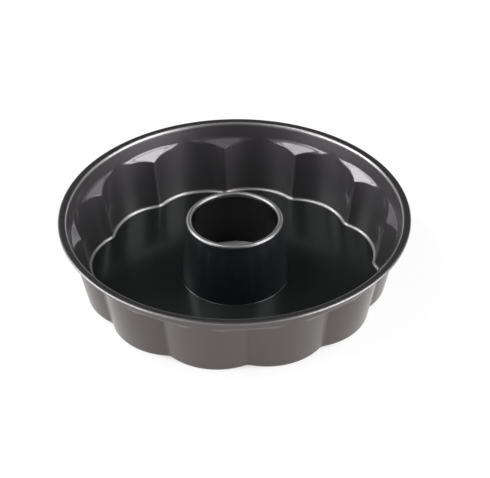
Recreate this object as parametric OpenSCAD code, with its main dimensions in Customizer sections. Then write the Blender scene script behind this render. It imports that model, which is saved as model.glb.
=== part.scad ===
// Fluted ring cake pan: one pressed sheet body with a separate tapered centre tube.
// Millimetres, +Z up, origin on the table under the middle of the pan.

/* [Body] */
// Diameter across the curled rim
rim_d = 260; // [230:1:290]
// Height from the table to the top of the rim
height = 58; // [48:1:75]
// Thickness of the sheet
sheet = 0.5; // [0.4:0.05:0.8]
// Lean of the wall from vertical, in degrees
draft = 12; // [8:0.5:14]
// Radius of the rounded corner between floor and wall, on the inside
floor_fillet = 3.2; // [2:0.1:4.5]

/* [Flutes] */
// Number of outward flutes round the wall
flutes = 12; // [10:1:14]
// Radius of each flute where it meets the floor, on the inside
flute_r = 41; // [36:0.5:46]
// Height of the plain round band between the flutes and the rim
band_h = 12.5; // [9:0.5:16]
// Slope of the shoulder over each ridge, in degrees from level
shoulder_angle = 36; // [30:1:42]
// How far the round band stands outside the flutes
band_step = 0.15; // [0.1:0.05:0.4]

/* [Rim] */
// Width of the flange from the wall line to the outer edge
flange_w = 5.6; // [5:0.1:9]
// Radius of the bend from the wall into the flange
bend_r = 2; // [1.2:0.1:2.4]
// Outer radius of the curled edge under the flange
curl_r = 1.1; // [1:0.05:1.5]

/* [Floor] */
// Rise of the floor towards the tube, which keeps the seam off the table
crown_h = 1; // [0.8:0.1:2]
// Width of the level ring round the tube where the seam lies
seam_land = 9; // [7:0.5:14]

/* [Centre tube] */
// Outer diameter of the tube where it leaves the floor
tube_foot_d = 81; // [70:0.5:90]
// Outer diameter of the tube at its curled top
tube_top_d = 72.4; // [62:0.2:78]
// Height of the tube's top above the table
tube_h = 52; // [42:0.5:60]
// Outer radius of the curl round the tube's top
bead_r = 2.1; // [1.6:0.1:2.6]
// Width of the foot that is turned out under the floor
foot_w = 5.5; // [3:0.5:6.5]
// Gap between the tube and the hole in the floor
seam_gap = 0.05; // [0.03:0.01:0.1]

/* [Hidden] */
$fn = 192;
rim_r = rim_d / 2;
mouth_r = rim_r - flange_w;
flute_step = 360 / flutes;
flute_c = wall_r(sheet) - flute_r;
shoulder_z = height - band_h;
core_r = ridge_r(flute_r - 2 * floor_fillet);
hole_r = tube_foot_d / 2 + seam_gap;
land_r = tube_foot_d / 2 + seam_land;
curl_x = rim_r - curl_r;
curl_end = -150;
bead_end = 300;
pie_angle = 110;
corner_steps = 6;
curl_steps = 16;
overrun = 2;

bead_x = tube_top_d / 2 - bead_r;
bead_z = tube_h - bead_r;
foot_x = tube_foot_d / 2;
foot_z = crown_h + sheet;
foot_run = norm([foot_x - bead_x, bead_z - foot_z]);
tube_lean = atan2(foot_x - bead_x, bead_z - foot_z) - asin(bead_r / foot_run);

// Inside radius of the wall along the middle of a flute
function wall_r(z) = mouth_r - (height - z) * tan(draft);

// Distance from the pan's axis to the ridge between two flutes of radius r
function ridge_r(r) = flute_c * cos(flute_step / 2)
    + sqrt(r * r - pow(flute_c * sin(flute_step / 2), 2));

// Radius of a flute's wall at height z, on the surface that lies d outside the inner one
function flute_x(z, d) = flute_r + (z - sheet) * tan(draft) + d / cos(draft);

// Radius of the round band at height z, on the surface that lies d outside the inner one
function band_x(z, d) = wall_r(z) + band_step + d / cos(draft);

// Height of the corner between shoulder and band, on the surface that lies d outside the inner one
function corner_z(d) = shoulder_z + d * (sin(shoulder_angle) / cos(draft) - 1)
    / (cos(shoulder_angle) * (1 - tan(draft) * tan(shoulder_angle)));

// Points along an arc, both ends included
function arc(centre, r, a0, a1, steps) =
    [for (k = [0:steps]) let(a = a0 + (a1 - a0) * k / steps) centre + r * [cos(a), sin(a)]];

// Half section of one flute, with the rounded corner at its floor
module flute_section(d, top) {
    r = floor_fillet + d;
    floor_z = sheet - d;
    x = flute_x(floor_z + r, d) - r / cos(draft);
    polygon(concat(
        [[0, floor_z]],
        arc([x, floor_z + r], r, -90, -draft, corner_steps),
        [[flute_x(top, d), top], [0, top]]
    ));
}

// Half section of the space above the shoulders, out to the bend and over the flange
module mouth_section(d, reach) {
    z1 = corner_z(d);
    x1 = band_x(z1, d);
    x0 = ridge_r(flute_r) - floor_fillet;
    z0 = z1 - (x1 - x0) * tan(shoulder_angle);
    bend = [band_x(height - bend_r, 0) + bend_r / cos(draft), height - bend_r];
    top = height + overrun;
    polygon(concat(
        [[0, z0], [x0, z0], [x1, z1]],
        arc(bend, bend_r - d, 180 - draft, 90, corner_steps),
        [[reach, height - d], [reach, top], [0, top]]
    ));
}

// What the crowned floor takes out of the space above it
module crown(d) {
    slope = crown_h / (core_r - land_r);
    z = sheet - d;
    rotate_extrude()
        polygon([[0, z - overrun], [core_r + overrun / slope, z - overrun], [land_r, z + crown_h],
            [0, z + crown_h]]);
}

// The space above the surface that lies d under the pan's upper one, out to radius reach
module pan_space(d, reach) {
    difference() {
        union() {
            translate([0, 0, sheet - d]) cylinder(r = core_r, h = shoulder_z - sheet + d);
            for (k = [0:flutes - 1])
                let(a = (k + 0.5) * flute_step)
                    translate([flute_c * cos(a), flute_c * sin(a), 0])
                        rotate_extrude(angle = pie_angle, start = a - pie_angle / 2)
                            flute_section(d, shoulder_z + overrun);
            rotate_extrude() mouth_section(d, reach);
        }
        crown(d);
    }
}

// Half section of the curled edge, with the last of the flange
module curl_section() {
    centre = [curl_x, height - curl_r];
    inner_x = curl_x - curl_r;
    polygon(concat(
        [[inner_x, height - sheet], [inner_x, height]],
        arc(centre, curl_r, 90, curl_end, curl_steps),
        arc(centre, curl_r - sheet, curl_end, 90, curl_steps)
    ));
}

// Pressed sheet body: fluted wall, crowned floor with a hole, flange and curled rim
module pan_body() {
    color("#3b3a3b")
        difference() {
            union() {
                difference() {
                    pan_space(sheet, curl_x);
                    pan_space(0, rim_r);
                }
                rotate_extrude() curl_section();
            }
            translate([0, 0, -overrun]) cylinder(r = hole_r, h = height);
        }
}

// Tapered tube, curled inwards at the top, with its foot turned out under the floor
module center_tube() {
    bead = [bead_x, bead_z];
    side = [cos(tube_lean), sin(tube_lean)];
    down = [tan(tube_lean), -1];
    outer_top = bead + bead_r * side;
    inner_top = bead + (bead_r - sheet) * side;
    foot_end = foot_x + foot_w;
    color("#2c2d2f")
        rotate_extrude()
            polygon(concat(
                [
                    inner_top + (inner_top[1] - crown_h + sheet) * down,
                    [foot_end, crown_h - sheet],
                    [foot_end, crown_h],
                    outer_top + (outer_top[1] - crown_h) * down
                ],
                arc(bead, bead_r, tube_lean, bead_end, curl_steps),
                arc(bead, bead_r - sheet, bead_end, tube_lean, curl_steps)
            ));
}

pan_body();
center_tube();
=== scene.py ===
"""Fluted ring cake pan: a drawn sheet body with a separate centre tube, on a white table."""

import math

import bpy
import numpy as np
from bpy.props import FloatProperty, FloatVectorProperty, IntProperty, PointerProperty
from mathutils import Matrix, Vector


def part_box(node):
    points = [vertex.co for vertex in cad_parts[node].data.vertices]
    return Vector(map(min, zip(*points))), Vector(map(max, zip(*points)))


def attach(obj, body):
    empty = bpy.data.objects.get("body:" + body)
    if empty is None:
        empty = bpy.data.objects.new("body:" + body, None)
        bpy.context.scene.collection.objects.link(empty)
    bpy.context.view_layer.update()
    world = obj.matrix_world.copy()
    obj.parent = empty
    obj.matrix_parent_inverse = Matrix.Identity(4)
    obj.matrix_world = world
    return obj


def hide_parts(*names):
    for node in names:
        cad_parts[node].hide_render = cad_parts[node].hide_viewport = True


bl_info = {
    "name": "Fluted Ring Cake Pan",
    "version": (1, 0, 0),
    "blender": (4, 5, 0),
    "location": "3D View > Sidebar > Cake Pan",
    "description": "Makes a coated steel ring cake pan and the table it stands on",
    "category": "Add Mesh",
}

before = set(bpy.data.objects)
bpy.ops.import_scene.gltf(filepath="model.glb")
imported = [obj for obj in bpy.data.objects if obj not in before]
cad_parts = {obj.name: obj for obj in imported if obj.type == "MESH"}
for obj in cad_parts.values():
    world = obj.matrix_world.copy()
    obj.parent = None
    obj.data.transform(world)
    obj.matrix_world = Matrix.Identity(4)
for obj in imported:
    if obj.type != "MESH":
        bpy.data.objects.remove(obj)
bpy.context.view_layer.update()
PAN_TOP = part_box("pan_body")[1]
TUBE_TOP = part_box("center_tube")[1]
MM = 0.001


def linear(hex_colour):
    """Linear RGBA of an sRGB hex colour."""
    parts = [int(hex_colour[i:i + 2], 16) / 255 for i in (1, 3, 5)]
    return [c / 12.92 if c <= 0.04045 else ((c + 0.055) / 1.055) ** 2.4 for c in parts] + [1.0]


WHITE = linear("#ffffff")


class PanSizes(bpy.types.PropertyGroup):
    """Sizes of the drawn sheet body"""

    rim_r: FloatProperty(name="Rim radius", description="From the axis to the outside of the curled rim",
                         default=PAN_TOP.x, unit="LENGTH")
    height: FloatProperty(name="Height", description="From the table to the top of the rim",
                          default=PAN_TOP.z, unit="LENGTH")
    sheet: FloatProperty(name="Sheet", description="Thickness of the steel sheet", default=0.5 * MM, unit="LENGTH")
    flutes: IntProperty(name="Flutes", description="Outward flutes round the wall", default=12)
    flute_c: FloatProperty(name="Flute centre", description="From the axis to a flute's centre, at the table",
                           default=67.85 * MM, unit="LENGTH")
    flute_c_rise: FloatProperty(name="Flute centre drift", default=0.157,
                                description="How far a flute's centre moves out for each unit of height")
    flute_r: FloatProperty(name="Flute radius", description="Inside radius of a flute, at the table",
                           default=45.11 * MM, unit="LENGTH")
    flute_r_rise: FloatProperty(name="Flute radius growth", default=0.0314,
                                description="How much a flute's radius grows for each unit of height")
    ridge_low: FloatProperty(name="Ridge rounding at the floor", default=4.7 * MM, unit="LENGTH",
                             description="Rounding of the ridge between two flutes where it meets the floor")
    ridge_high: FloatProperty(name="Ridge rounding at the shoulder", default=2.6 * MM, unit="LENGTH",
                              description="Rounding of the ridge between two flutes under the shoulder")
    floor_fillet: FloatProperty(name="Floor corner", description="Radius between floor and wall, on the inside",
                                default=3.2 * MM, unit="LENGTH")
    shoulder_z: FloatProperty(name="Shoulder height", description="Where the shoulders meet the round band",
                              default=45.4 * MM, unit="LENGTH")
    band_r: FloatProperty(name="Band radius", description="Inside radius of the round band at the shoulders' height",
                          default=121.4 * MM, unit="LENGTH")
    band_draft: FloatProperty(name="Band draft", description="Lean of the round band", default=math.radians(12.2),
                              subtype="ANGLE")
    shoulder_slope: FloatProperty(name="Shoulder slope", description="Slope of the shoulders from level",
                                  default=math.radians(38.0), subtype="ANGLE")
    shoulder_corner: FloatProperty(name="Shoulder corner", default=4.5 * MM, unit="LENGTH",
                                   description="Radius between a shoulder and the round band")
    shoulder_edge: FloatProperty(name="Shoulder edge", default=1.8 * MM, unit="LENGTH",
                                 description="Rounding of the edge where a shoulder meets the flutes")
    bend_r: FloatProperty(name="Rim bend", description="Radius of the bend from the band into the flange",
                          default=2.6 * MM, unit="LENGTH")
    curl_r: FloatProperty(name="Rim curl", description="Outer radius of the curled edge", default=1.3 * MM,
                          unit="LENGTH")
    crown: FloatProperty(name="Crown", description="Rise of the floor towards the tube", default=0.6 * MM,
                         unit="LENGTH")
    crown_outer: FloatProperty(name="Crown outer radius", description="Where the floor starts to rise",
                               default=98.0 * MM, unit="LENGTH")
    crown_inner: FloatProperty(name="Crown inner radius", description="Where the floor is level again",
                               default=49.5 * MM, unit="LENGTH")


class TubeSizes(bpy.types.PropertyGroup):
    """Sizes of the centre tube"""

    foot_r: FloatProperty(name="Foot radius", description="Outer radius where the tube leaves the floor",
                          default=40.5 * MM, unit="LENGTH")
    top_r: FloatProperty(name="Top radius", description="Outer radius at the curled top", default=36.2 * MM,
                         unit="LENGTH")
    height: FloatProperty(name="Height", description="From the table to the tube's top", default=TUBE_TOP.z - 0.7 * MM,
                          unit="LENGTH")
    bead_r: FloatProperty(name="Bead", description="Outer radius of the curled top", default=2.1 * MM,
                          unit="LENGTH")
    bead_turn: FloatProperty(name="Bead turn", description="How far the top edge curls inwards",
                             default=math.radians(300), subtype="ANGLE")
    foot_r_out: FloatProperty(name="Foot edge", description="Outer radius of the foot under the floor",
                              default=TUBE_TOP.x, unit="LENGTH")
    foot_bend: FloatProperty(name="Foot bend", description="Radius where the tube turns out under the floor",
                             default=0.9 * MM, unit="LENGTH")
    # the real seam is a hairline; it is drawn wider so that it shows in a picture of this size
    seam: FloatProperty(name="Seam", description="Width of the seam between tube and floor", default=0.7 * MM,
                        unit="LENGTH")


class Finish(bpy.types.PropertyGroup):
    """Colours of the coated steel and of the table"""

    body: FloatVectorProperty(name="Body", description="Colour of the coating's flakes on the body",
                              default=linear("#585558"), size=4, subtype="COLOR")
    outside: FloatVectorProperty(name="Outside", description="Colour of the coating on the body's outer side",
                                 default=linear("#4e4545"), size=4, subtype="COLOR")
    # painted shade: the level floor and the lip of its hole are drawn darker, where the coat is also duller
    floor: FloatVectorProperty(name="Floor", size=4, subtype="COLOR", default=linear("#2a2e2c"),
                               description="Colour where the coating has settled thick, on the floor")
    # painted shade: the inside of the tube is drawn near black, where the coat is also duller
    bore: FloatVectorProperty(name="Bore", size=4, subtype="COLOR", default=linear("#080706"),
                              description="Colour where the coating has settled thick, inside the tube")
    # painted highlight: the lighter colour laid where lights glint, over the rim's bend and curl, the floor's corner
    # and the tube's bead
    bends: FloatVectorProperty(name="Bends", description="Colour where the coating is thin, over the bends",
                               size=4, subtype="COLOR", default=linear("#918f8f"))
    tube: FloatVectorProperty(name="Tube", description="Colour of the coating's flakes on the tube",
                              default=linear("#303338"), size=4, subtype="COLOR")
    table: FloatVectorProperty(name="Table", description="Colour of the table", default=linear("#fafafa"), size=4,
                               subtype="COLOR")
    glow: FloatProperty(name="Table glow", description="How much of the table's white is its own, in the picture",
                        default=0.85, subtype="FACTOR")
    # the real powder is finer; it is drawn coarser so that it doesn't flicker in a picture of this size
    grain: FloatProperty(name="Grain", description="Size of the coating's fine grain", default=0.35 * MM,
                         unit="LENGTH")


class CameraSetup(bpy.types.PropertyGroup):
    """Where the camera stands"""

    azimuth: FloatProperty(name="Azimuth", description="Turn round the pan from straight in front",
                           default=math.radians(-4.18), subtype="ANGLE")
    elevation: FloatProperty(name="Elevation", description="Angle above the table", default=math.radians(35.22),
                             subtype="ANGLE")
    distance: FloatProperty(name="Distance", description="From the middle of the rim's plane", default=1.0204,
                            unit="LENGTH")
    aim: FloatVectorProperty(name="Aim", description="Sideways and upwards shift of the aim, as the camera sees it",
                             default=(0.00751, -0.02115), size=2, unit="LENGTH")
    roll: FloatProperty(name="Roll", description="Turn about the line of sight", default=math.radians(0.40),
                        subtype="ANGLE")
    lens: FloatProperty(name="Lens", description="Focal length on a 36 mm sensor, in mm", default=101.45)


class PanScene(bpy.types.PropertyGroup):
    """Everything that can be set"""

    pan: PointerProperty(type=PanSizes, name="Pan", description="Sizes of the drawn sheet body")
    tube: PointerProperty(type=TubeSizes, name="Tube", description="Sizes of the centre tube")
    finish: PointerProperty(type=Finish, name="Finish", description="Colours of the coating and of the table")
    camera: PointerProperty(type=CameraSetup, name="Camera", description="Where the camera stands")


# Colours and nodes


def add_node(tree, kind, inputs=None, **settings):
    """Add a node; inputs maps a socket's name or number to a value or to another node's output."""
    node = tree.nodes.new(kind)
    for key, value in settings.items():
        setattr(node, key, value)
    for key, value in (inputs or {}).items():
        if isinstance(value, bpy.types.NodeSocket):
            tree.links.new(value, node.inputs[key])
        else:
            node.inputs[key].default_value = value
    return node


def new_material(name):
    """An empty node material."""
    material = bpy.data.materials.new(name)
    material.use_nodes = True
    material.node_tree.nodes.clear()
    return material, material.node_tree


def coated_steel(name, finish, colour, painted_shade_colour):
    """Carbon steel sheet with a baked-on non-stick coating that holds fine metal flakes.

    The flakes give a soft dark sheen, and the coating's clear top mirrors the lights a little softly. The
    mesh paints light and shade into the colour: a painted highlight in a lighter colour over the bends; painted
    shade, a darker colour, most of all on the floor and inside the tube, where the coat is also duller; and on
    the body's outer side a warmer coat of its own.
    """
    material, tree = new_material(name)
    thin, thick, outer = (add_node(tree, "ShaderNodeAttribute", attribute_name=layer).outputs["Fac"]
                          for layer in ("thin", "thick", "outer"))
    # a colour mix takes its two colours in sockets 6 and 7 and gives the result in output 2
    # colour: the painted highlight, then the painted shade, then the outer side's own colour
    tint = colour
    for share, other in ((thin, finish.bends), (thick, painted_shade_colour), (outer, finish.outside)):
        tint = add_node(tree, "ShaderNodeMix", {"Factor": share, 6: tint, 7: other}, data_type="RGBA").outputs[2]
    # from no painted shade to full painted shade the coat grows duller: the flakes' roughness and the weight of the
    # clear top
    flakes = add_node(tree, "ShaderNodeMapRange", {"Value": thick, "To Min": 0.38, "To Max": 0.46})
    clear = add_node(tree, "ShaderNodeMapRange", {"Value": thick, "To Min": 0.8, "To Max": 0.24})
    place = add_node(tree, "ShaderNodeTexCoord").outputs["Object"]
    grain = add_node(tree, "ShaderNodeTexNoise", {"Vector": place, "Scale": 1 / finish.grain, "Detail": 2.0})
    bump = add_node(tree, "ShaderNodeBump", {"Height": grain.outputs["Fac"], "Strength": 0.05,
                                             "Distance": 0.02 * MM})
    shader = add_node(tree, "ShaderNodeBsdfPrincipled", {
        "Base Color": tint, "Metallic": 0.8, "Roughness": flakes.outputs["Result"],
        "Coat Weight": clear.outputs["Result"], "Coat Roughness": 0.15,
        "Normal": bump.outputs["Normal"], "Coat Normal": bump.outputs["Normal"]})
    add_node(tree, "ShaderNodeOutputMaterial", {"Surface": shader.outputs["BSDF"]})
    return material


def picture_rays(tree):
    """1 for the rays that show things in the picture: from the camera, mirrored or passed through; else 0."""
    rays = add_node(tree, "ShaderNodeLightPath").outputs
    seen = add_node(tree, "ShaderNodeMath", {0: rays["Is Camera Ray"], 1: rays["Is Glossy Ray"]}, operation="ADD")
    return add_node(tree, "ShaderNodeMath", {0: seen.outputs[0], 1: rays["Is Transmission Ray"]}, operation="ADD",
                    use_clamp=True).outputs[0]


GLOW_START, GLOW_FULL = 98 * MM, 112 * MM  # distances from the axis between which the table's own white sets in


def white_table(name, finish):
    """Smooth white table top, shown near white to the camera and in reflections, with the pan's shadow kept.

    Under the pan the table has no white of its own, so that what shows through the tube lies in its shade.
    """
    material, tree = new_material(name)
    paint = add_node(tree, "ShaderNodeBsdfDiffuse", {"Color": finish.table})
    glow = add_node(tree, "ShaderNodeEmission", {"Color": WHITE, "Strength": 1.0})
    place = add_node(tree, "ShaderNodeTexCoord").outputs["Object"]
    far = add_node(tree, "ShaderNodeVectorMath", {0: place}, operation="LENGTH").outputs["Value"]
    clear = add_node(tree, "ShaderNodeMapRange", {"Value": far, "From Min": GLOW_START, "From Max": GLOW_FULL,
                                                  "To Max": finish.glow})
    share = add_node(tree, "ShaderNodeMath", {0: picture_rays(tree), 1: clear.outputs["Result"]},
                     operation="MULTIPLY")
    mix = add_node(tree, "ShaderNodeMixShader", {"Fac": share.outputs[0], 1: paint.outputs[0], 2: glow.outputs[0]})
    add_node(tree, "ShaderNodeOutputMaterial", {"Surface": mix.outputs["Shader"]})
    return material


# Shape of the pan's inner surface, in metres

RIDGE_FACING = 0.63  # dot product of the normals where two flutes meet, at a ridge
SHOULDER_FACING = 0.72  # the same where a shoulder meets the flutes
TIP_START, TIP_END = 3.0, 9.5  # degrees from the ridge between which a shoulder turns steeper
TIP_STEEPER = math.radians(24)  # how much steeper it is at its two tips
EDGE_FULL, EDGE_GONE = 9.5, 12.5  # degrees from the ridge between which a shoulder's edge loses its rounding
SHARP = 0.001 * MM  # rounding that stands for a sharp edge
NORMAL_STEP = 0.02 * MM  # step along each axis when a surface's normal is worked out
HALVINGS = 34  # of a line through the surface, which leave far less than a micrometre


def ramp(value, start, end):
    """0 at start and 1 at end, straight in between and level beyond them."""
    return np.clip((value - start) / (end - start), 0, 1)


def joined(a, b, radius, facing):
    """Union of two signed distances, with a fillet in the crease; facing is the dot product of their normals."""
    ha, hb = radius - a, radius - b
    reach = np.sqrt(np.maximum(ha * ha + hb * hb - 2 * facing * ha * hb, 0) / (1 - facing * facing))
    return np.where((hb > facing * ha) & (ha > facing * hb), radius - reach, np.minimum(a, b))


def common(a, b, radius, facing):
    """Intersection of two signed distances, with a rounded corner."""
    return -joined(-a, -b, radius, facing)


def floor_height(p, r):
    """Height of the floor's upper side at distance r from the axis."""
    share = ramp(r, p.crown_outer, p.crown_inner)
    return p.sheet + p.crown * (1 - np.cos(math.pi * share)) / 2


def cavity(p, x, y, z):
    """Signed distance to the pan's inner surface near the ridge on +X, negative in the air."""
    step = math.pi / p.flutes
    cos_draft = math.cos(p.band_draft)
    r = np.hypot(x, y)
    centre = p.flute_c + p.flute_c_rise * z
    flute_r = p.flute_r + p.flute_r_rise * z
    flute_a, flute_b = (
        (np.hypot(x - centre * math.cos(turn), y - centre * math.sin(turn)) - flute_r) * cos_draft
        for turn in (step, -step))
    ridge_r = p.ridge_low + (p.ridge_high - p.ridge_low) * ramp(z, 0, p.shoulder_z)
    flutes = joined(flute_a, flute_b, ridge_r, RIDGE_FACING)
    flutes = common(flutes, floor_height(p, r) - z, p.floor_fillet, math.sin(p.band_draft))
    band = (r - p.band_r - (z - p.shoulder_z) * math.tan(p.band_draft)) * cos_draft
    off_ridge = np.degrees(np.abs(np.arctan2(y, x)))
    slope = p.shoulder_slope + TIP_STEEPER * ramp(off_ridge, TIP_START, TIP_END) ** 2
    shoulder = (p.shoulder_z - (p.band_r - r) * np.tan(slope) - z) * np.cos(slope)
    mouth = common(band, shoulder, p.shoulder_corner, np.sin(slope + p.band_draft))
    edge_r = np.maximum(p.shoulder_edge * ramp(off_ridge, EDGE_GONE, EDGE_FULL), SHARP)
    return joined(flutes, mouth, edge_r, SHOULDER_FACING)


def crossing(p, start, end):
    """Points where straight lines from the air (start) to the metal (end) meet the inner surface."""
    low, high = np.zeros(start.shape[:-1]), np.ones(start.shape[:-1])
    for _ in range(HALVINGS):
        middle = (low + high) / 2
        point = start + (end - start) * middle[..., None]
        air = cavity(p, point[..., 0], point[..., 1], point[..., 2]) < 0
        low, high = np.where(air, middle, low), np.where(air, high, middle)
    return start + (end - start) * low[..., None]


def outward(p, points):
    """Unit normals of the inner surface, pointing into the sheet."""
    slopes = []
    for axis in range(3):
        ahead, behind = points.copy(), points.copy()
        ahead[..., axis] += NORMAL_STEP
        behind[..., axis] -= NORMAL_STEP
        slopes.append(cavity(p, *np.moveaxis(ahead, -1, 0)) - cavity(p, *np.moveaxis(behind, -1, 0)))
    normals = np.stack(slopes, axis=-1)
    return normals / np.linalg.norm(normals, axis=-1, keepdims=True)


# Meshes of the two pieces

# columns of half a sector
HALF_COLUMNS = 32
RIDGE_CROWD = 2.2  # how much closer together they lie at the ridge
RIDGE_REACH = math.radians(1.6)  # how far from the ridge that reaches

# rings of the wall, and the lines along which they are found
CORNER_RINGS, FLUTE_RINGS, SHOULDER_RINGS, BAND_RINGS = 20, 11, 55, 4
CORNER_TOP = 5 * MM  # height over the floor's rounded corner
SHOULDER_START = 34 * MM  # height under the shoulders
SHOULDER_END = 50 * MM  # height over the shoulders
BEND_START = 3.2 * MM  # how far the last ring lies below the rim's top, under the bend
AIR_R = 90 * MM  # distance from the axis that lies inside the wall at any height
METAL_R = 131 * MM  # distance from the axis that lies beyond the wall's inner side at any height
FAN_IN = 8 * MM  # how far in from the wall the lines to the floor's corner start
FAN_UP = 4 * MM  # how far over the corner's top they start
FAN_REACH = 20 * MM  # how long they are

# rings of the floor and of the edge of its hole
FLOOR_RINGS = 21
LIP_STEPS = 4
LIP_R = 0.15 * MM  # rounding of the edge
LIP_RIM = 0.3 * MM  # from the rounding to the floor's first ring
LIP_DROP = 0.2 * MM  # how far the edge goes on down under the rounding

# rings of the rim
BEND_STEPS, UNDER_BEND_STEPS, CURL_STEPS = 12, 10, 20
CURL_END = math.radians(-150)  # where the curl ends under the flange, as an angle about its centre

# where light and shade are painted into the body's colour, and where its coat is duller
SHADE_START, SHADE_FULL = 0.95, 0.995  # how level the floor is where its painted shade and duller coat set in, and where they are full
HIGHLIGHT_START, HIGHLIGHT_FULL = 0.38, 0.58  # how level the floor's corner is where its painted highlight starts, and where it is brightest
OUTER_DULL_AND_SHADE = 0.45  # duller coat on the outer side; under the curl, where the outer colour isn't used, it also paints shade into the colour
# painted highlight, and painted shade with a duller coat on the flange and under the curl, by the rim's rings: 0 to 12
# round the bend, 13 to 33 from the flange's edge round the curl
RIM_HIGHLIGHT = ((0, 0.4), (2, 1), (5, 0.9), (7, 0), (16, 0), (18, 0.5), (20, 0.5), (22, 0))
RIM_SHADE_AND_DULL = ((6, 0), (9, 0.38), (15, 0.38), (18, 0), (20, 0), (23, 0.9))


def arc(centre, radius, start, end, steps):
    """Points along an arc in the section plane, both ends included; angles in radians."""
    turn = np.linspace(start, end, steps + 1)
    return np.stack([centre[0] + radius * np.cos(turn), centre[1] + radius * np.sin(turn)], axis=-1)


def revolved(section, columns):
    """Rings of points (section points by columns) from a section of (r, z) points."""
    return np.stack([section[:, :1] * np.cos(columns), section[:, :1] * np.sin(columns),
                     np.repeat(section[:, 1:], len(columns), axis=1)], axis=-1)


def sector_columns(p):
    """Azimuths across half a sector, from the ridge to the flute's middle, closer together at the ridge."""
    fine = np.linspace(0, math.pi / p.flutes, 400)
    crowd = 1 + RIDGE_CROWD * np.exp(-(fine / RIDGE_REACH) ** 2)
    measure = np.concatenate([[0], np.cumsum((crowd[1:] + crowd[:-1]) / 2)])
    return np.interp(np.linspace(0, measure[-1], HALF_COLUMNS + 1), measure, fine)


def full_circle(rings, flutes):
    """Rings over half a sector, mirrored at the ridge and repeated round the pan."""
    half = rings[:, :-1]
    mirrored = rings[:, :0:-1] * np.array([1, -1, 1])
    sector = np.concatenate([mirrored, half], axis=1)
    turned = []
    for k in range(flutes):
        a = 2 * math.pi * k / flutes
        spin = np.array([[math.cos(a), math.sin(a), 0], [-math.sin(a), math.cos(a), 0], [0, 0, 1]])
        turned.append(sector @ spin)
    return np.concatenate(turned, axis=1)


def around(values, flutes):
    """One number for each point of half a sector, repeated as full_circle repeats the points."""
    return np.tile(np.concatenate([values[:, :0:-1], values[:, :-1]], axis=1), flutes)


def add_object(name, data):
    """A new object in the scene, for a mesh, a lamp or a camera."""
    new = bpy.data.objects.new(name, data)
    bpy.context.scene.collection.objects.link(new)
    return new


def mesh_piece(name, rings, material, **coating):
    """A closed skin through rings of points, as a smooth mesh object; coating gives each layer's values."""
    count, columns = rings.shape[:2]
    index = np.arange(count * columns).reshape(count, columns)
    right = np.roll(index, -1, axis=1)
    quads = np.stack([index, right, np.roll(right, -1, axis=0), np.roll(index, -1, axis=0)], axis=-1)
    mesh = bpy.data.meshes.new(name)
    mesh.from_pydata(rings.reshape(-1, 3).tolist(), [], quads.reshape(-1, 4).tolist())
    mesh.polygons.foreach_set("use_smooth", [True] * len(mesh.polygons))
    mesh.materials.append(material)
    mesh.validate()
    mesh.update()
    for layer, values in coating.items():
        values = np.broadcast_to(values, (count, columns)).astype(np.float32)
        mesh.attributes.new(layer, "FLOAT", "POINT").data.foreach_set("value", values.ravel())
    return add_object(name, mesh)


def wall_rings(p, columns):
    """Inner surface from the floor's edge up to the rim's bend, over half a sector."""
    out = np.stack([np.cos(columns), np.sin(columns)], axis=-1)

    def at(r, z):
        """Points at distance r from the axis and height z, one for each column."""
        r = np.broadcast_to(r, columns.shape)
        return np.concatenate([r[:, None] * out, np.full((len(columns), 1), z)], axis=1)

    # the floor's corner is found along a fan of lines from the air over it
    top = crossing(p, at(AIR_R, CORNER_TOP), at(METAL_R, CORNER_TOP))
    eye_r, eye_z = np.hypot(top[:, 0], top[:, 1]) - FAN_IN, CORNER_TOP + FAN_UP
    rings = []
    for turn in np.linspace(-math.pi / 2, -math.atan2(FAN_UP, FAN_IN), CORNER_RINGS):
        end = at(eye_r + FAN_REACH * math.cos(turn), eye_z + FAN_REACH * math.sin(turn))
        rings.append(crossing(p, at(eye_r, eye_z), end))
    # the wall above it is found along level lines
    low = CORNER_TOP
    for high, count in ((SHOULDER_START, FLUTE_RINGS), (SHOULDER_END, SHOULDER_RINGS),
                        (p.height - BEND_START, BAND_RINGS)):
        for z in np.linspace(low, high, count + 1)[1:]:
            rings.append(crossing(p, at(AIR_R, z), at(METAL_R, z)))
        low = high
    return np.stack(rings)


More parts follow.
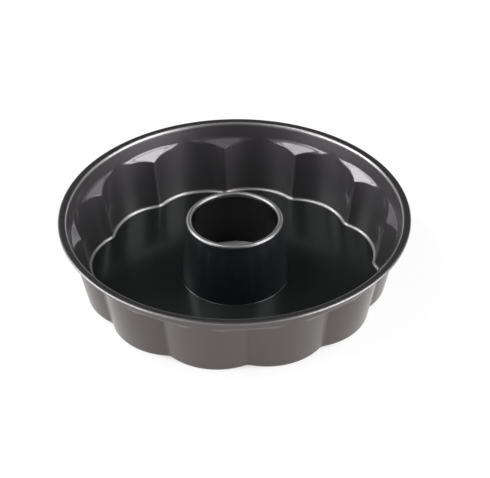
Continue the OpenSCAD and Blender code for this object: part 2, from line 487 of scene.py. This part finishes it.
def make_body(props):
    """Mesh object of the drawn sheet body."""
    p = props.pan
    wall = wall_rings(p, sector_columns(p))
    facing = outward(p, wall)
    skin = wall + facing * p.sheet
    # painted shade on the level floor, where the coat is also duller, and a painted highlight over the corner between
    # floor and wall
    low, flat = wall[..., 2] < CORNER_TOP, -facing[..., 2]
    level = ramp(flat, SHADE_START, SHADE_FULL)
    corner = ramp(flat, HIGHLIGHT_START, HIGHLIGHT_FULL) * (1 - level)
    wall_thin, wall_thick = around(corner * low, p.flutes), around(level * low, p.flutes)
    wall, skin = full_circle(wall, p.flutes), full_circle(skin, p.flutes)
    columns = np.arctan2(wall[-1, :, 1], wall[-1, :, 0])

    # floor, from the hole out to the wall's first ring
    hole = props.tube.foot_r + props.tube.seam
    lip = arc((hole + LIP_R, floor_height(p, hole) - LIP_R), LIP_R, math.pi, math.pi / 2, LIP_STEPS)
    start = lip[-1, 0] + LIP_RIM
    edge_r = np.hypot(wall[0, :, 0], wall[0, :, 1])
    floor_r = start + (edge_r - start) * np.linspace(0, 1, FLOOR_RINGS + 1)[:-1, None]
    floor = np.stack([floor_r * np.cos(columns), floor_r * np.sin(columns), floor_height(p, floor_r)], axis=-1)
    under = floor - np.array([0, 0, p.sheet])
    under_lip = lip[[0]] - np.array([[0, LIP_DROP]])

    # rim: bend, flange and curl; the sheet's upper side goes out, its under side comes back
    draft = p.band_draft
    bend_z = p.height - p.bend_r
    bend_x = p.band_r + (bend_z - p.shoulder_z) * math.tan(draft) + p.bend_r / math.cos(draft)
    bend, curl = (bend_x, bend_z), (p.rim_r - p.curl_r, p.height - p.curl_r)
    rim = np.concatenate([
        arc(bend, p.bend_r, math.pi - draft, math.pi / 2, BEND_STEPS),
        arc(curl, p.curl_r, math.pi / 2, CURL_END, CURL_STEPS)])
    under_curl = arc(curl, p.curl_r - p.sheet, CURL_END, math.pi / 2, CURL_STEPS)
    under_bend = arc(bend, p.bend_r - p.sheet, math.pi / 2, math.pi - draft, UNDER_BEND_STEPS)
    rim_thin, rim_thick = (np.interp(np.arange(len(rim))[:, None], *zip(*coat)) for coat in (RIM_HIGHLIGHT, RIM_SHADE_AND_DULL))

    # each group of rings, with its painted highlight, its painted shade and duller coat, and 1 where it is the outer
    # coat
    groups = [
        (revolved(lip, columns), 0, 1, 0),
        (floor, 0, 1, 0),
        (wall, wall_thin, wall_thick, 0),
        (revolved(rim, columns), rim_thin, rim_thick, 0),
        (revolved(under_curl, columns), 0, OUTER_DULL_AND_SHADE, 0),
        (revolved(under_bend, columns), 0, OUTER_DULL_AND_SHADE, 1),
        (skin[::-1], 0, OUTER_DULL_AND_SHADE, 1),
        (under[::-1], 0, OUTER_DULL_AND_SHADE, 1),
        (revolved(under_lip, columns), 0, OUTER_DULL_AND_SHADE, 1)]
    thin, thick, outer = (np.concatenate([np.broadcast_to(group[k], group[0].shape[:2]) for group in groups])
                          for k in (1, 2, 3))
    coat = coated_steel("non-stick coated steel, body", props.finish, props.finish.body, props.finish.floor)
    return mesh_piece("pan_body_shell", np.concatenate([group[0] for group in groups]), coat,
                      thin=thin, thick=thick, outer=outer)


TUBE_COLUMNS = 288
TUBE_RINGS = 12  # along the wall
FOOT_STEPS = 8
BEAD_STEPS, BEAD_INNER_STEPS = 44, 30
BEAD_MEET = math.radians(-50)  # where the wall meets the bead, as an angle about its centre
CREASE = 0.03  # share of the wall's ring spacing at which one more ring keeps the crease under the bead narrow
BEAD_HIGHLIGHT = ((10, 0.1), (60, 1), (120, 1), (170, 0.1))  # painted highlight: how strongly the lighter colour shows, by degrees round the bead


def make_tube(props):
    """Mesh object of the centre tube, with its curled top and its foot under the floor."""
    p, t = props.pan, props.tube
    sheet = p.sheet
    bead = np.array([t.top_r - t.bead_r, t.height - t.bead_r])
    # the foot's upper side lies against the floor's under side
    foot_z = p.crown
    lean = math.atan2(t.foot_r - t.top_r, t.height - t.bead_r - foot_z - sheet)
    side = np.array([math.cos(lean), math.sin(lean)])
    # the foot's bend has its centre outside the tube, over the foot
    centre = np.array([t.foot_r + t.foot_bend, foot_z + t.foot_bend])
    bend_in = t.foot_bend + sheet
    # the bead stands a little proud of the wall, which meets it from below
    edge = np.array([math.cos(BEAD_MEET), math.sin(BEAD_MEET)])
    inside = np.linspace(bead + (t.bead_r - sheet) * edge, centre - bend_in * side, TUBE_RINGS)
    outside = np.linspace(centre - t.foot_bend * side, bead + t.bead_r * edge, TUBE_RINGS)
    crease = outside[-1] + (outside[-2] - outside[-1]) * CREASE
    bead_turns = np.linspace(BEAD_MEET, t.bead_turn, BEAD_STEPS + 1)
    bead_thin = np.interp(np.degrees(bead_turns), *zip(*BEAD_HIGHLIGHT))

    # each part of the section, with its painted highlight and its painted shade and duller coat
    parts = [
        (arc(bead, t.bead_r - sheet, t.bead_turn, BEAD_MEET, BEAD_INNER_STEPS), 0, 0),
        (inside[1:-1], 0, 1),
        (arc(centre, bend_in, math.pi + lean, 1.5 * math.pi, FOOT_STEPS), 0, 1),
        (np.array([[t.foot_r_out, foot_z - sheet], [t.foot_r_out, foot_z]]), 0, 0),
        (arc(centre, t.foot_bend, 1.5 * math.pi, math.pi + lean, FOOT_STEPS), 0, 0),
        (outside[1:-1], 0, 0),
        (crease[None], 0, 0),
        (arc(bead, t.bead_r, BEAD_MEET, t.bead_turn, BEAD_STEPS), bead_thin, 0)]
    section = np.concatenate([part[0] for part in parts])
    thin, thick = (np.concatenate([np.broadcast_to(part[k], len(part[0])) for part in parts]) for k in (1, 2))
    columns = np.linspace(0, 2 * math.pi, TUBE_COLUMNS + 1)[:-1]
    coat = coated_steel("non-stick coated steel, tube", props.finish, props.finish.tube, props.finish.bore)
    return mesh_piece("center_tube_wall", revolved(section, columns)[::-1], coat,
                      thin=thin[::-1, None], thick=thick[::-1, None])


def settle(piece, node):
    """Seat a piece on the frame in place of its CAD node."""
    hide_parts(node)
    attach(piece, "root")


class RINGPAN_OT_body(bpy.types.Operator):
    """Make the drawn sheet body: floor, flutes, shoulders, band and curled rim"""

    bl_idname = "ring_pan.body"
    bl_label = "Pan Body"

    def execute(self, context):
        settle(make_body(context.scene.ring_pan), "pan_body")
        return {"FINISHED"}


class RINGPAN_OT_tube(bpy.types.Operator):
    """Make the centre tube with its curled top"""

    bl_idname = "ring_pan.tube"
    bl_label = "Centre Tube"

    def execute(self, context):
        settle(make_tube(context.scene.ring_pan), "center_tube")
        return {"FINISHED"}


# Table, lights and camera


SOFT_BOXES = (
    # name, azimuth, elevation, half width and half height in degrees as the pan sees it, brightness
    ("left low", -85, 9, 30, 10, 7.5),
    ("left low front", -38, 10, 9, 10, 0.8),
    ("left middle", -82, 27, 26, 8, 5.2),
    ("left high", -73, 60.5, 15, 8.5, 6.8),
    ("left back", -117, 41, 11, 8, 9.5),
    ("left far back", -154, 25, 8, 8, 1.0),
    ("right low", 62, 9, 28, 10, 8.0),
    ("right middle", 65, 27, 22, 8, 5.5),
    ("right high", 79, 54.5, 15, 8.5, 9.6),
    ("right back", 117, 35, 10, 7, 1.7),
    ("right far back", 146, 12, 9, 8, 0.7),
    ("front high", 0, 70, 16, 10, 0.4),
)
BOX_DISTANCE = 1.6
BOX_AIM = 30 * MM  # height over the table that the soft boxes face
SENSOR = 36  # width of the camera's sensor, in mm
TABLE_REACH = 12.0  # from the pan's axis to each side of the table
TABLE_GAP = 0.02 * MM  # how far the table lies under the pan, so that their surfaces don't meet
BACKDROP_FULL, BACKDROP_TOP = 0.175, 0.2  # Z of the directions between which the backdrop ends upwards
BACKDROP_END, BACKDROP_BEHIND = 0.3, 0.5  # Y of the directions between which it ends at its two sides


def direction(azimuth, elevation):
    """Unit vector away from the pan; azimuth 0 is in front, and the angles are in radians."""
    return Vector((math.sin(azimuth) * math.cos(elevation), -math.cos(azimuth) * math.cos(elevation),
                   math.sin(elevation)))


def make_light(name, azimuth, elevation, half_width, half_height, brightness):
    """A rectangular soft box that faces the pan."""
    away = direction(math.radians(azimuth), math.radians(elevation))
    lamp = bpy.data.lights.new(name, "AREA")
    lamp.shape = "RECTANGLE"
    lamp.size = 2 * BOX_DISTANCE * math.tan(math.radians(half_width))
    lamp.size_y = 2 * BOX_DISTANCE * math.tan(math.radians(half_height))
    lamp.energy = math.pi * lamp.size * lamp.size_y * brightness
    light = add_object(name, lamp)
    light.location = away * BOX_DISTANCE + Vector((0, 0, BOX_AIM))
    light.rotation_mode = "QUATERNION"
    light.rotation_quaternion = away.to_track_quat("Z", "Y")


def make_camera(setup, height):
    """The camera, aimed at the middle of the rim's plane with a small shift."""
    away = direction(setup.azimuth, setup.elevation)
    right = Vector((math.cos(setup.azimuth), math.sin(setup.azimuth), 0))
    up = away.cross(right)
    middle = Vector((0, 0, height))
    place = middle + away * setup.distance
    aim = middle + right * setup.aim[0] + up * setup.aim[1]
    back = (place - aim).normalized()
    side = Vector((0, 0, 1)).cross(back).normalized()
    lens = bpy.data.cameras.new("camera")
    lens.sensor_width = SENSOR
    lens.lens = setup.lens
    camera = add_object("camera", lens)
    turn = Matrix((side, back.cross(side), back)).transposed().to_4x4()
    camera.matrix_world = Matrix.Translation(place) @ turn @ Matrix.Rotation(-setup.roll, 4, "Z")
    bpy.context.scene.camera = camera


def make_world():
    """A dark studio with a low white backdrop behind the pan, which is seen and mirrored but lights nothing."""
    world = bpy.data.worlds.new("studio")
    bpy.context.scene.world = world
    world.use_nodes = True
    tree = world.node_tree
    tree.nodes.clear()
    dark = add_node(tree, "ShaderNodeBackground", {"Color": linear("#0c0c0d"), "Strength": 1.0})
    white = add_node(tree, "ShaderNodeBackground", {"Color": WHITE, "Strength": 1.0})
    sky = add_node(tree, "ShaderNodeTexCoord").outputs["Generated"]
    towards = add_node(tree, "ShaderNodeSeparateXYZ", {"Vector": sky}).outputs
    low = add_node(tree, "ShaderNodeMapRange", {"Value": towards["Z"], "From Min": BACKDROP_FULL,
                                                "From Max": BACKDROP_TOP, "To Min": 1.0, "To Max": 0.0})
    behind = add_node(tree, "ShaderNodeMapRange", {"Value": towards["Y"], "From Min": BACKDROP_END,
                                                   "From Max": BACKDROP_BEHIND})
    backdrop = add_node(tree, "ShaderNodeMath", {0: low.outputs["Result"], 1: behind.outputs["Result"]},
                        operation="MULTIPLY")
    share = add_node(tree, "ShaderNodeMath", {0: picture_rays(tree), 1: backdrop.outputs[0]},
                     operation="MULTIPLY")
    mix = add_node(tree, "ShaderNodeMixShader", {"Fac": share.outputs[0], 1: dark.outputs[0], 2: white.outputs[0]})
    add_node(tree, "ShaderNodeOutputWorld", {"Surface": mix.outputs["Shader"]})


def make_stage(props):
    """White table, studio world, soft boxes and camera."""
    corners = [(x * TABLE_REACH, y * TABLE_REACH, 0) for x, y in ((-1, -1), (1, -1), (1, 1), (-1, 1))]
    mesh = bpy.data.meshes.new("table")
    mesh.from_pydata(corners, [], [(0, 1, 2, 3)])
    mesh.materials.append(white_table("white table top", props.finish))
    table = add_object("table", mesh)
    table.location.z = -TABLE_GAP

    make_world()
    for soft_box in SOFT_BOXES:
        make_light(*soft_box)
    make_camera(props.camera, props.pan.height)
    bpy.context.scene.view_settings.view_transform = "Standard"


class RINGPAN_OT_stage(bpy.types.Operator):
    """Make the white table, the soft boxes and the camera"""

    bl_idname = "ring_pan.stage"
    bl_label = "Table and Lights"

    def execute(self, context):
        make_stage(context.scene.ring_pan)
        return {"FINISHED"}


class RINGPAN_PT_panel(bpy.types.Panel):
    """Panel in the 3D view's sidebar"""

    bl_idname = "RINGPAN_PT_panel"
    bl_label = "Ring Cake Pan"
    bl_space_type = "VIEW_3D"
    bl_region_type = "UI"
    bl_category = "Cake Pan"

    def draw(self, context):
        for operator in OPERATORS:
            self.layout.operator(operator.bl_idname)


OPERATORS = (RINGPAN_OT_body, RINGPAN_OT_tube, RINGPAN_OT_stage)
CLASSES = (PanSizes, TubeSizes, Finish, CameraSetup, PanScene, *OPERATORS, RINGPAN_PT_panel)


def register():
    for cls in CLASSES:
        bpy.utils.register_class(cls)
    bpy.types.Scene.ring_pan = PointerProperty(type=PanScene)


def unregister():
    del bpy.types.Scene.ring_pan
    for cls in reversed(CLASSES):
        bpy.utils.unregister_class(cls)


def main():
    register()
    bpy.ops.ring_pan.body()
    bpy.ops.ring_pan.tube()
    bpy.ops.ring_pan.stage()
    bpy.context.view_layer.update()


if __name__ == "__main__":
    main()
